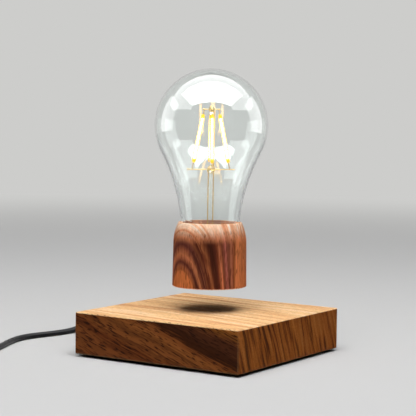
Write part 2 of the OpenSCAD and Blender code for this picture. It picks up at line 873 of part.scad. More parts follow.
// A hook-and-loop strap goes once round the bundle of turns
module cord_tie() {
    tie_turn = 135;
    inner_edge = coil_r - coil_pitch*layer_turns - cord_d/2;
    inside = sqrt(inner_edge*inner_edge - tie_w*tie_w/4) - slack;
    outside = coil_r + cord_d/2 + slack;
    inner_h = cord_d + (coil_layers - 1)*coil_pitch + 2*slack;
    width = outside - inside;
    corner = 2;
    color(rubber) translate([coil_at.x, coil_at.y, 0]) rotate([0, 0, tie_turn]) {
        translate([(inside + outside)/2, tie_w/2, tie_t + inner_h/2]) rotate([90, 0, 0]) {
            linear_extrude(tie_w) difference() {
                round_rect(width + 2*tie_t, inner_h + 2*tie_t, corner + tie_t);
                square([width, inner_h], center = true);
            }
        }
    }
}

module adapter_plan(inset) {
    round_rect(adapter_w - 2*inset, adapter_l - 2*inset, adapter_corner_r - inset);
}

module adapter_case() {
    skin = 0.01;
    case_h = adapter_h - adapter_lid_h;
    color(black_plastic) translate([adapter_at.x, adapter_at.y, 0]) {
        hull($fn = 32) {
            linear_extrude(skin) adapter_plan(adapter_bevel);
            translate([0, 0, adapter_bevel]) linear_extrude(case_h - adapter_bevel - groove) adapter_plan(0);
        }
        translate([0, 0, case_h - 2*groove]) linear_extrude(2*groove) adapter_plan(groove);
    }
}

module adapter_lid() {
    low = adapter_h - adapter_lid_h;
    color(black_plastic) translate([adapter_at.x, adapter_at.y, low]) difference() {
        union() {
            linear_extrude(adapter_lid_h - adapter_bevel) adapter_plan(0);
            translate([0, 0, adapter_lid_h - adapter_bevel - groove]) {
                linear_extrude(adapter_bevel + groove) adapter_plan(adapter_bevel);
            }
        }
        for (side = [-1, 1]) translate([side*pin_pitch/2, 0, adapter_lid_h - pin_sunk]) {
            cylinder(d = pin_sleeve_d + 2*hair, h = pin_sunk + over);
        }
    }
}

module adapter_pins() {
    length = pin_l + pin_sunk;
    sleeve_r = pin_sleeve_d/2;
    sleeve_end = pin_sunk + pin_sleeve_l;
    tip = 1.2;
    color(brass) for (side = [-1, 1]) {
        translate([adapter_at.x + side*pin_pitch/2, adapter_at.y, adapter_h - pin_sunk]) {
            rotate_extrude() polygon([
                [0, 0], [sleeve_r, 0], [sleeve_r, sleeve_end], [pin_d/2, sleeve_end],
                [pin_d/2, length - tip], [pin_d/2 - tip, length], [0, length]
            ]);
        }
    }
}

module adapter_relief() {
    color(rubber) translate([adapter_at.x, adapter_end, adapter_cord_z]) rotate([90, 0, 0]) relief_sleeve();
}

base_block();
base_cover();
cover_screws();
base_feet();
control_board();
board_screws();
ring_magnet();
coil_bobbins();
coil_windings();
coil_cores();
hall_sensors();
driver_chips();
power_capacitors();
transmit_coil();
coil_carrier();
touch_pad();
touch_spring();
dc_jack();
jack_pin();
float_magnet();
wood_cap();
cap_disc();
receive_former();
receive_coil();
rectifier_board();
rectifier_parts();
glass_globe();
glass_stem();
neck_cement();
lead_wires();
upper_supports();
lower_supports();
led_filaments();
filament_tails();
dc_plug();
plug_barrel();
plug_relief();
cord_lead();
cord_coil();
cord_tail();
cord_tie();
adapter_case();
adapter_lid();
adapter_pins();
adapter_relief();
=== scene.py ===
import math

import bmesh
import bpy
from mathutils import Matrix, Vector


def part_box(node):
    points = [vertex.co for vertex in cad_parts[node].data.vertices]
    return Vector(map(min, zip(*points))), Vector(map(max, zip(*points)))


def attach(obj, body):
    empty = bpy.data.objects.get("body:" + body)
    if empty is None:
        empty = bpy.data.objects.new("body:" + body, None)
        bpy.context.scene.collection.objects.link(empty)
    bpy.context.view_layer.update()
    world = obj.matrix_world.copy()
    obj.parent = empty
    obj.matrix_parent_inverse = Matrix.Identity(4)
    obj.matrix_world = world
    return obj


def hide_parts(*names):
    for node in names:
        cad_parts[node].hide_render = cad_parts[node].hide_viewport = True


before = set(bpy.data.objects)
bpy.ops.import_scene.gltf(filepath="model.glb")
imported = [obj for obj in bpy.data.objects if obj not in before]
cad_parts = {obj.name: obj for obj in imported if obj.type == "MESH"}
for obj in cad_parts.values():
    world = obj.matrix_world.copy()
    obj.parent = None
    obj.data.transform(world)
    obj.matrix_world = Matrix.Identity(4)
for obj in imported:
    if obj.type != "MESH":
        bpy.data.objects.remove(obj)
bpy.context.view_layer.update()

# The camera stands just above the table, off the near corner of the base.
# A long lens keeps the sides of the bulb upright, and the horizon leans by less than a degree.
MM = 0.001
camera_turn = math.radians(33.305)
camera_rise = math.radians(3.817)
camera_lean = math.radians(0.767)
camera_distance = 734.12*MM
aim_height = 77.858*MM
aim_aside = -1.229*MM
sensor_mm = 36
focal_mm = 119.797
near_limit = 10*MM

to_camera = Vector((
    math.sin(camera_turn)*math.cos(camera_rise),
    -math.cos(camera_turn)*math.cos(camera_rise),
    math.sin(camera_rise),
))
level_right = to_camera.cross(Vector((0, 0, -1))).normalized()
level_up = to_camera.cross(level_right)
camera_right = level_right*math.cos(camera_lean) + level_up*math.sin(camera_lean)
camera_up = level_up*math.cos(camera_lean) - level_right*math.sin(camera_lean)
camera_place = to_camera*camera_distance + level_right*aim_aside + Vector((0, 0, aim_height))

lens = bpy.data.cameras.new("lamp_camera")
lens.sensor_width = sensor_mm
lens.lens = focal_mm
lens.clip_start = near_limit
camera = bpy.data.objects.new("lamp_camera", lens)
turned = Matrix((camera_right, camera_up, to_camera)).transposed()
camera.matrix_world = Matrix.Translation(camera_place) @ turned.to_4x4()
bpy.context.scene.collection.objects.link(camera)
bpy.context.scene.camera = camera
bpy.context.scene.view_settings.view_transform = "Standard"


# The table is a wide sheet of matt pale grey card that turns up into a wall all round.
# The card is lit near the lamp, where it takes the shadow, and stays an even pale tone further out.
def to_linear(colour):
    """Linear colour from an sRGB hex value."""
    channels = [int(colour[i:i + 2], 16)/255 for i in (1, 3, 5)]
    return (*[c/12.92 if c <= 0.04045 else ((c + 0.055)/1.055)**2.4 for c in channels], 1.0)


def add_node(material, kind, inputs=None, stops=None, **settings):
    """Add one node. An input is a value, or the socket that it is linked from."""
    made = material.node_tree.nodes.new(kind)
    for name, value in settings.items():
        setattr(made, name, value)
    for name, value in (inputs or {}).items():
        if isinstance(value, bpy.types.NodeSocket):
            material.node_tree.links.new(value, made.inputs[name])
        else:
            made.inputs[name].default_value = value
    if stops:
        ramp = made.color_ramp.elements
        ramp[0].position, ramp[0].color = stops[0][0], to_linear(stops[0][1])
        ramp[1].position, ramp[1].color = stops[-1][0], to_linear(stops[-1][1])
        for place, colour in stops[1:-1]:
            ramp.new(place).color = to_linear(colour)
    return made


def new_material(name):
    """Material with nothing in its node tree yet."""
    material = bpy.data.materials.new(name)
    material.use_nodes = True
    material.node_tree.nodes.clear()
    return material


def turn_outline(outline, steps):
    """Mesh of revolution about Z. An outline that leaves the axis is closed on itself."""
    on_axis = 1e-7
    mesh = bmesh.new()
    rings = []
    for r, z in outline:
        angles = [2*math.pi*k/steps for k in range(steps)] if r > on_axis else [0]
        rings.append([mesh.verts.new((r*math.cos(a), r*math.sin(a), z)) for a in angles])
    pairs = list(zip(rings, rings[1:]))
    if len(rings[0]) > 1 and len(rings[-1]) > 1 and outline[0] != outline[-1]:
        pairs.append((rings[-1], rings[0]))
    for low, high in pairs:
        for k in range(steps):
            n = k + 1
            corners = [low[k % len(low)], low[n % len(low)], high[n % len(high)], high[k % len(high)]]
            mesh.faces.new(dict.fromkeys(corners))
    bmesh.ops.recalc_face_normals(mesh, faces=mesh.faces)
    return mesh


def make_piece(name, mesh, material, sharp_above=40):
    """Object of a finished mesh, smooth but for edges sharper than the angle."""
    data = bpy.data.meshes.new(name)
    mesh.to_mesh(data)
    mesh.free()
    data.materials.append(material)
    data.shade_smooth()
    data.set_sharp_from_angle(angle=math.radians(sharp_above))
    piece = bpy.data.objects.new(name, data)
    bpy.context.scene.collection.objects.link(piece)
    return piece


def arc(centre, radius, first, last, steps):
    """Points along an arc, in degrees, both ends among them."""
    angles = [math.radians(first + (last - first)*i/steps) for i in range(steps + 1)]
    return [(centre[0] + radius*math.cos(a), centre[1] + radius*math.sin(a)) for a in angles]


card_colour = "#bababa"
card_far = "#cdcdcb"
card_bounce = "#484847"
card_reach = 3.0
card_turn_up = 1.2
card_height = 4.5
card_lit_to = 0.35
card_even_from = 1.5

card = new_material("matt_pale_card")
even_card = add_node(card, "ShaderNodeEmission", {"Color": to_linear(card_far)})
ray = add_node(card, "ShaderNodeLightPath")
mirrored = add_node(card, "ShaderNodeMath", {
    0: ray.outputs["Is Glossy Ray"], 1: ray.outputs["Is Transmission Ray"],
}, operation="MAXIMUM")
seen = add_node(card, "ShaderNodeMath", {
    0: ray.outputs["Is Camera Ray"], 1: mirrored.outputs[0],
}, operation="MAXIMUM")
bounced = add_node(card, "ShaderNodeMix", {
    "Factor": seen.outputs[0], "A": to_linear(card_bounce), "B": to_linear(card_colour),
}, data_type="RGBA")
lit_card = add_node(card, "ShaderNodeBsdfDiffuse", {"Color": bounced.outputs["Result"], "Roughness": 0.6})
place = add_node(card, "ShaderNodeTexCoord")
outwards = add_node(card, "ShaderNodeVectorMath", {0: place.outputs["Object"]}, operation="LENGTH")
evened = add_node(card, "ShaderNodeMapRange", {
    "Value": outwards.outputs["Value"], "From Min": card_lit_to, "From Max": card_even_from,
}, interpolation_type="SMOOTHSTEP")
share = add_node(card, "ShaderNodeMath", {
    0: seen.outputs[0], 1: evened.outputs["Result"],
}, operation="MULTIPLY")
surface = add_node(card, "ShaderNodeMixShader", {
    0: share.outputs[0], 1: lit_card.outputs[0], 2: even_card.outputs[0],
})
add_node(card, "ShaderNodeOutputMaterial", {"Surface": surface.outputs[0]})
card_outline = [(0, 0), (card_reach, 0)]
card_outline += arc((card_reach, card_turn_up), card_turn_up, -90, 0, steps=16)[1:]
card_outline.append((card_reach + card_turn_up, card_height))
make_piece("pale_card", turn_outline(card_outline, steps=96), card, sharp_above=60)


# A soft box over and before the lamp lights its wood and throws the shadow under the cap.
# A bright ceiling that is cut back before the lamp, a brighter panel under it and two tall boxes
# a little behind the lamp's left and right only show as mirror images.
def soft_box(name, watts, across, tall, place, aim):
    """A flat light with a face of that size in metres, out of the camera's sight."""
    box = bpy.data.lights.new(name, "AREA")
    box.shape = "RECTANGLE"
    box.size = across
    box.size_y = tall
    box.energy = watts
    holder = bpy.data.objects.new(name, box)
    facing = (Vector(place) - Vector(aim)).to_track_quat("Z", "Y")
    holder.matrix_world = Matrix.Translation(place) @ facing.to_matrix().to_4x4()
    holder.visible_camera = False
    bpy.context.scene.collection.objects.link(holder)
    return holder


def beside_camera(degrees, distance, height):
    """A place at an angle to the right of the camera, about the lamp's axis."""
    ahead = Vector((to_camera.x, to_camera.y, 0)).normalized()
    turn = math.radians(degrees)
    return ahead*math.cos(turn)*distance + level_right*math.sin(turn)*distance + Vector((0, 0, height))


def mirror_images_only(light):
    """A factor of 1 for what a mirror shows of the light, and of 0 for the rest."""
    path = add_node(light, "ShaderNodeLightPath")
    mirrored = add_node(light, "ShaderNodeMath", {
        0: path.outputs["Glossy Depth"], 1: 0.5,
    }, operation="GREATER_THAN")
    return mirrored.outputs[0]


top_box = soft_box(
    "top_box", watts=23, across=1.1, tall=1.1, place=beside_camera(0, 0.4, 1.1), aim=(0, 0, 0.05),
)
top_box.visible_glossy = False
top_box.visible_transmission = False

# The corners of the ceiling are metres to the right of the lamp and metres towards the camera.
ceiling_height = 1.3
ceiling_glow = 3.4
ceiling_outline = [
    (-2.4, -0.8), (2.4, -0.8), (3.1, -0.1), (1.55, 1.45),
    (1.15, 1.05), (-1.15, 1.05), (-1.55, 1.45), (-3.1, -0.1),
]
ceiling_light = new_material("glowing_ceiling")
strength = add_node(ceiling_light, "ShaderNodeMath", {
    0: mirror_images_only(ceiling_light), 1: ceiling_glow,
}, operation="MULTIPLY")
glow = add_node(ceiling_light, "ShaderNodeEmission", {"Strength": strength.outputs[0]})
add_node(ceiling_light, "ShaderNodeOutputMaterial", {"Surface": glow.outputs[0]})
ceiling_mesh = bmesh.new()
ceiling_mesh.faces.new([
    ceiling_mesh.verts.new(beside_camera(0, ahead, ceiling_height) + level_right*aside)
    for aside, ahead in ceiling_outline
])
ceiling = make_piece("bright_ceiling", ceiling_mesh, ceiling_light)
ceiling.visible_camera = False
ceiling.visible_diffuse = False
ceiling.visible_shadow = False
side_box = {"watts": 2.8, "across": 0.6, "tall": 0.7, "aim": (0, 0, 0.1)}
mirrored_boxes = [
    soft_box(
        "ceiling_panel", watts=52, across=2.3, tall=1.25,
        place=beside_camera(0, 0.425, 1.28), aim=beside_camera(0, 0.423, 0),
    ),
    soft_box("left_box", place=beside_camera(-103, 0.85, 0.3), **side_box),
    soft_box("right_box", place=beside_camera(104, 0.85, 0.3), **side_box),
]
for box in mirrored_boxes:
    box.visible_diffuse = False
    box.data.use_nodes = True
    glow = box.data.node_tree.nodes["Emission"]
    box.data.node_tree.links.new(mirror_images_only(box.data), glow.inputs["Strength"])

sky_colour = "#f4f6fa"
sky_strength = 0.14
sky = bpy.data.worlds.new("soft_sky")
sky.use_nodes = True
sky.node_tree.nodes["Background"].inputs["Color"].default_value = to_linear(sky_colour)
sky.node_tree.nodes["Background"].inputs["Strength"].default_value = sky_strength
bpy.context.scene.world = sky


# The power cord is two fine copper strands in a black vinyl sheath, extruded round and smooth.
# It leaves the plug's sleeve, lies along the table, and its spare length is coiled beside the adapter.
# Its far end runs on through the adapter's sleeve.
cord_d = 3.2*MM
coil_at = Vector((-110, -94, 0))*MM
coil_r = 22*MM
coil_pitch = 3.7*MM
coil_turns = 9.25
coil_layers = 4
coil_floor = 2.9*MM
steps_per_turn = 48
steps_per_point = 6
lead_route = [
    (-77.5, 26, 12.6), (-82, 26, 12.6), (-88, 25.4, 11.2), (-93.4, 22.6, 8), (-97.4, 17.6, 4.6),
    (-99.8, 11, 2.2), (-100.6, 4, 1.6), (-101.4, -3, 1.6), (-103, -10, 1.6), (-105, -17, 1.6),
    (-106.2, -24, 1.6), (-105.8, -31, 1.6), (-104, -38, 1.6), (-101.4, -45, 1.6), (-98.4, -52, 1.6),
    (-95.4, -59, 1.6), (-92.6, -66, 1.6), (-90, -73, 1.7), (-88.4, -80, 2.4), (-88, -86, 2.9),
    (-88, -90.8, 2.9),
]
tail_route = [
    (-113.2, -116, 14), (-117, -116, 14), (-123, -116, 13), (-130, -115.8, 10.6), (-136.6, -115, 8.4),
    (-142.4, -112.4, 7.4), (-147, -108.4, 8), (-150.2, -103.6, 10), (-151.7, -99.6, 11.9),
    (-152, -96.6, 12.5), (-152, -93, 12.5), (-152, -82, 12.5),
]


def through(points, steps):
    """Smooth line through the given points."""
    line = [Vector(p)*MM for p in points]
    line = [2*line[0] - line[1], *line, 2*line[-1] - line[-2]]
    smooth = []
    for a, b, c, d in zip(line, line[1:], line[2:], line[3:]):
        for i in range(steps):
            t = i/steps
            smooth.append((2*b + (c - a)*t + (2*a - 5*b + 4*c - d)*t*t + (3*b - a - 3*c + d)*t**3)/2)
    return smooth + [line[-2]]


def coil_point(turn):
    """A place in the coil: layers wind in and out by turns and climb where the winding reverses."""
    layer_turns = coil_turns/coil_layers
    layer, part = divmod(turn, layer_turns)
    wound_in = part if layer % 2 == 0 else layer_turns - part
    climbed = 0
    for step in range(1, coil_layers):
        c = min(max((turn - step*layer_turns)*2 + 0.5, 0), 1)
        climbed += c*c*(3 - 2*c)
    r = coil_r - coil_pitch*wound_in
    angle = -2*math.pi*turn
    return coil_at + Vector((r*math.cos(angle), r*math.sin(angle), coil_floor + coil_pitch*climbed))


coil_count = round(coil_turns*steps_per_turn)
cord_line = through(lead_route, steps_per_point)
cord_line += [coil_point(coil_turns*i/coil_count) for i in range(coil_count + 1)]
cord_line += through(tail_route, steps_per_point)
curve = bpy.data.curves.new("power_cord", "CURVE")
curve.dimensions = "3D"
curve.bevel_depth = cord_d/2
curve.bevel_resolution = 5
curve.use_fill_caps = True
strand = curve.splines.new("POLY")
strand.points.add(len(cord_line) - 1)
for point, spot in zip(strand.points, cord_line):
    point.co = (*spot, 1)
strand.use_smooth = True
cord = bpy.data.objects.new("power_cord", curve)
bpy.context.scene.collection.objects.link(cord)

# Black vinyl, extruded: a soft gloss that thin dust breaks in patches, over a faint orange-peel skin.
vinyl_skin_mm = 0.9
vinyl_dust_mm = 22.2
vinyl = new_material("black_vinyl_sheath")
place = add_node(vinyl, "ShaderNodeTexCoord")
skin = add_node(vinyl, "ShaderNodeTexNoise", {
    "Vector": place.outputs["Object"], "Scale": 1/(vinyl_skin_mm*MM), "Detail": 2.0,
})
dust = add_node(vinyl, "ShaderNodeTexNoise", {
    "Vector": place.outputs["Object"], "Scale": 1/(vinyl_dust_mm*MM), "Detail": 5.0,
})
tone = add_node(vinyl, "ShaderNodeValToRGB", {"Fac": dust.outputs["Fac"]},
                stops=[(0.35, "#070709"), (0.6, "#0c0c0f"), (0.78, "#17161a")])
gloss = add_node(vinyl, "ShaderNodeMapRange", {
    "Value": dust.outputs["Fac"], "From Min": 0.3, "From Max": 0.7, "To Min": 0.22, "To Max": 0.36,
})
dimples = add_node(vinyl, "ShaderNodeBump", {
    "Strength": 0.25, "Distance": 0.04*MM, "Height": skin.outputs["Fac"],
})
shader = add_node(vinyl, "ShaderNodeBsdfPrincipled", {
    "Base Color": tone.outputs["Color"], "Roughness": gloss.outputs["Result"], "IOR": 1.53,
    "Specular IOR Level": 0.18, "Normal": dimples.outputs["Normal"],
})
add_node(vinyl, "ShaderNodeOutputMaterial", {"Surface": shader.outputs[0]})
curve.materials.append(vinyl)
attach(cord, "power_lead")
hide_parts("cord_lead", "cord_coil", "cord_tail")


# A black hook-and-loop strap goes once round the bundle of turns and laps over itself on top.
# It is woven nylon, 8 mm wide and 1 mm thick, and keeps a soft felted face.
strap_w = 8*MM
strap_t = 1*MM
strap_turn = math.radians(135)
strap_corner = 2.4*MM
strap_room = 0.3*MM
coil_inner = coil_r - coil_pitch*coil_turns/coil_layers - cord_d/2
strap_inside = math.sqrt(coil_inner**2 - strap_w**2/4) - strap_room
strap_outside = coil_r + cord_d/2 + strap_room
strap_tall = cord_d + (coil_layers - 1)*coil_pitch + 2*strap_room
strap_lap = 6*MM
strap_overlap = 0.4*MM
strap_edge = 0.25*MM


def strap_path():
    """Middle line of the strap in its own upright plane, from the lap on top once round."""
    half_w = (strap_outside - strap_inside + strap_t)/2
    half_h = (strap_tall + strap_t)/2
    mid_z = strap_t + strap_tall/2
    mid_r = (strap_inside + strap_outside)/2
    corners = [(1, 1, 90, 0), (1, -1, 0, -90), (-1, -1, -90, -180), (-1, 1, 180, 90)]
    path = [(mid_r - strap_lap, mid_z + half_h)]
    for sx, sz, first, last in corners:
        centre = (mid_r + sx*(half_w - strap_corner), mid_z + sz*(half_h - strap_corner))
        path += arc(centre, strap_corner, first, last, 8)
    return path + [(mid_r - strap_lap + strap_overlap, mid_z + half_h)]


strap_mesh = bmesh.new()
path = strap_path()
rows = []
for i, (r, z) in enumerate(path):
    before = Vector(path[max(i - 1, 0)])
    after = Vector(path[min(i + 1, len(path) - 1)])
    along = (after - before).normalized()
    out = Vector((-along.y, along.x))*strap_t/2
    row = []
    for side, face in ((-1, -1), (1, -1), (1, 1), (-1, 1)):
        row.append(strap_mesh.verts.new((r + face*out.x, side*strap_w/2, z + face*out.y)))
    rows.append(row)
for row, following in zip(rows, rows[1:]):
    for k in range(4):
        strap_mesh.faces.new((row[k], row[(k + 1) % 4], following[(k + 1) % 4], following[k]))
strap_mesh.faces.new(rows[0])
strap_mesh.faces.new(list(reversed(rows[-1])))
bmesh.ops.recalc_face_normals(strap_mesh, faces=strap_mesh.faces)
strap_mesh.transform(Matrix.Translation(coil_at) @ Matrix.Rotation(strap_turn, 4, "Z"))

# Felted nylon: a dull black with a fine loop pile, so the edges look soft.
pile_mm = 0.5
felt = new_material("felted_nylon_strap")
place = add_node(felt, "ShaderNodeTexCoord")
pile = add_node(felt, "ShaderNodeTexVoronoi", {"Vector": place.outputs["Object"], "Scale": 1/(pile_mm*MM)})
tone = add_node(felt, "ShaderNodeValToRGB", {"Fac": pile.outputs["Distance"]},
                stops=[(0.1, "#26262a"), (0.7, "#0f0f11")])
loops = add_node(felt, "ShaderNodeBump", {
    "Strength": 0.7, "Distance": 0.25*MM, "Height": pile.outputs["Distance"],
}, invert=True)
shader = add_node(felt, "ShaderNodeBsdfPrincipled", {
    "Base Color": tone.outputs["Color"], "Roughness": 0.92, "Sheen Weight": 0.35, "Sheen Roughness": 0.4,
    "Normal": loops.outputs["Normal"],
})
add_node(felt, "ShaderNodeOutputMaterial", {"Surface": shader.outputs[0]})
strap = make_piece("cord_strap", strap_mesh, felt)
softened = strap.modifiers.new("soft_edges", "BEVEL")
softened.width = strap_edge
softened.segments = 2
softened.limit_method = "ANGLE"
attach(strap, "power_lead")
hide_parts("cord_tie")


# The wall adapter is two shells of black moulded plastic that meet at a shadow line.
# Its back carries two round pins, and the cord enters one end through a ribbed sleeve.
def moulded_plastic(name, dark, mid, pale, grain_mm, rough):
    """Moulded ABS: spark-eroded grain breaks the gloss, and handling leaves faint paler patches."""
    handled_mm = 14.3
    plastic = new_material(name)
    place = add_node(plastic, "ShaderNodeTexCoord")
    grain = add_node(plastic, "ShaderNodeTexNoise", {
        "Vector": place.outputs["Object"], "Scale": 1/(grain_mm*MM), "Detail": 3.0, "Roughness": 0.6,
    })
    wear = add_node(plastic, "ShaderNodeTexNoise", {
        "Vector": place.outputs["Object"], "Scale": 1/(handled_mm*MM), "Detail": 6.0, "Roughness": 0.65,
    })
    tone = add_node(plastic, "ShaderNodeValToRGB", {"Fac": wear.outputs["Fac"]},
                    stops=[(0.32, dark), (0.55, mid), (0.8, pale)])
    gloss = add_node(plastic, "ShaderNodeMapRange", {
        "Value": wear.outputs["Fac"], "From Min": 0.3, "From Max": 0.7,
        "To Min": rough - 0.07, "To Max": rough + 0.09,
    })
    pits = add_node(plastic, "ShaderNodeBump", {
        "Strength": 0.35, "Distance": 0.05*MM, "Height": grain.outputs["Fac"],
    })
    shader = add_node(plastic, "ShaderNodeBsdfPrincipled", {
        "Base Color": tone.outputs["Color"], "Roughness": gloss.outputs["Result"], "IOR": 1.54,
        "Specular IOR Level": 0.3, "Normal": pits.outputs["Normal"],
    })
    add_node(plastic, "ShaderNodeOutputMaterial", {"Surface": shader.outputs[0]})
    return plastic


def round_slab(low, high, corner, rings):
    """Upright block with round corners, lofted through rings of (inset, height)."""
    mesh = bmesh.new()
    centre = (low + high)/2
    loops = []
    for inset, z in rings:
        half = Vector(((high.x - low.x)/2 - inset, (high.y - low.y)/2 - inset))
        r = corner - inset
        outline = []
        for sx, sy, first in ((1, 1, 0), (-1, 1, 90), (-1, -1, 180), (1, -1, 270)):
            at = (centre.x + sx*(half.x - r), centre.y + sy*(half.y - r))
            outline += arc(at, r, first, first + 90, 10)
        loops.append([mesh.verts.new((x, y, z)) for x, y in outline])
    for below, above in zip(loops, loops[1:]):
        for k in range(len(below)):
            n = (k + 1) % len(below)
            mesh.faces.new((below[k], below[n], above[n], above[k]))
    mesh.faces.new(list(reversed(loops[0])))
    mesh.faces.new(loops[-1])
    bmesh.ops.recalc_face_normals(mesh, faces=mesh.faces)
    return mesh


adapter_corner = 5*MM
adapter_round = 1.2*MM
seam_depth = 0.5*MM
back_border = 3*MM
back_depth = 0.3*MM
black_abs = moulded_plastic("black_moulded_abs", "#131315", "#1b1b1e", "#2a292c", 0.55, 0.42)
case_low, case_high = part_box("adapter_case")
lid_low, lid_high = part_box("adapter_lid")
seam_z = case_high.z - 2*seam_depth
case_rings = arc((adapter_round, case_low.z + adapter_round), adapter_round, 270, 180, 6)
case_rings += [(0, seam_z), (seam_depth, seam_z), (seam_depth, case_high.z)]
case_mesh = round_slab(case_low, case_high, adapter_corner, case_rings)
adapter_case = make_piece("adapter_shell", case_mesh, black_abs)
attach(adapter_case, "power_lead")
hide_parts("adapter_case")
lid_rings = [(0, lid_low.z)]
lid_rings += arc((adapter_round, lid_high.z - adapter_round), adapter_round, 180, 90, 6)
lid_rings += [(back_border, lid_high.z), (back_border + back_depth, lid_high.z - back_depth)]
lid_mesh = round_slab(lid_low, lid_high, adapter_corner, lid_rings)
adapter_lid = make_piece("adapter_back", lid_mesh, black_abs)
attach(adapter_lid, "power_lead")
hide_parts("adapter_lid")


# Two turned brass pins stand out of the adapter's back, bright at their rounded tips.
# Their lower half wears a thin black sleeve, so that no bare metal shows in a half-drawn plug.
def turned_metal(name, dark, pale, rough, scale_mm):
    """Plain metal: fine tool marks run round the turned stock, and handling dulls it in patches."""
    dulled_mm = 6.25
    across_marks = 1/(scale_mm*MM)
    along_marks = 0.12*across_marks
    metal = new_material(name)
    place = add_node(metal, "ShaderNodeTexCoord")
    stretched = add_node(metal, "ShaderNodeVectorMath", {
        0: place.outputs["Object"], 1: (along_marks, along_marks, across_marks),
    }, operation="MULTIPLY")
    marks = add_node(metal, "ShaderNodeTexNoise", {
        "Vector": stretched.outputs[0], "Scale": 1.0, "Detail": 3.0,
    })
    dulled = add_node(metal, "ShaderNodeTexNoise", {
        "Vector": place.outputs["Object"], "Scale": 1/(dulled_mm*MM), "Detail": 4.0,
    })
    tone = add_node(metal, "ShaderNodeValToRGB", {"Fac": dulled.outputs["Fac"]},
                    stops=[(0.3, dark), (0.7, pale)])
    gloss = add_node(metal, "ShaderNodeMapRange", {
        "Value": marks.outputs["Fac"], "From Min": 0.3, "From Max": 0.7,
        "To Min": rough - 0.06, "To Max": rough + 0.1,
    })
    lines = add_node(metal, "ShaderNodeBump", {
        "Strength": 0.15, "Distance": 0.02*MM, "Height": marks.outputs["Fac"],
    })
    shader = add_node(metal, "ShaderNodeBsdfPrincipled", {
        "Base Color": tone.outputs["Color"], "Metallic": 1.0, "Roughness": gloss.outputs["Result"],
        "Normal": lines.outputs["Normal"],
    })
    add_node(metal, "ShaderNodeOutputMaterial", {"Surface": shader.outputs[0]})
    return metal


pin_r = 2*MM
pin_tip = 1.2*MM
sleeve_r = 1.7*MM
sleeve_tall = 10*MM
sleeve_step = 0.1*MM
pins_low, pins_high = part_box("adapter_pins")
brass = turned_metal("turned_brass", "#b8924a", "#d9b96c", 0.24, 0.3)
sleeve_top = lid_high.z + sleeve_tall
for side, x in (("left", pins_low.x + pin_r), ("right", pins_high.x - pin_r)):
    pin_outline = [(0, pins_low.z), (sleeve_r, pins_low.z), (sleeve_r, sleeve_top)]
    pin_outline += [(pin_r, sleeve_top + sleeve_step)]
    pin_outline += arc((pin_r - pin_tip, pins_high.z - pin_tip), pin_tip, 0, 90, 6) + [(0, pins_high.z)]
    pin_mesh = turn_outline(pin_outline, 40)
    for face in pin_mesh.faces:
        face.material_index = int(face.calc_center_median().z < sleeve_top)
    pin_mesh.transform(Matrix.Translation((x, (pins_low.y + pins_high.y)/2, 0)))
    pin = make_piece("adapter_pin_" + side, pin_mesh, brass)
    pin.data.materials.append(black_abs)
    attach(pin, "power_lead")
    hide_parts("adapter_pins")


# The low-voltage plug is moulded over its barrel in black vinyl, with finger ribs near its end.
# A tapered sleeve with ring grooves guards the cord where it leaves the plug, and one like it the adapter.
def dress(material, *nodes):
    """Give carried-over pieces a finish."""
    for node in nodes:
        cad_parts[node].data.materials.clear()
        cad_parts[node].data.materials.append(material)


soft_vinyl = moulded_plastic("moulded_soft_vinyl", "#101012", "#18181a", "#262528", 0.7, 0.5)
dress(soft_vinyl, "dc_plug", "plug_relief", "adapter_relief")
nickel = turned_metal("nickel_plated_brass", "#a9a7a2", "#d3d1cb", 0.2, 0.3)
dress(nickel, "plug_barrel", "jack_pin")


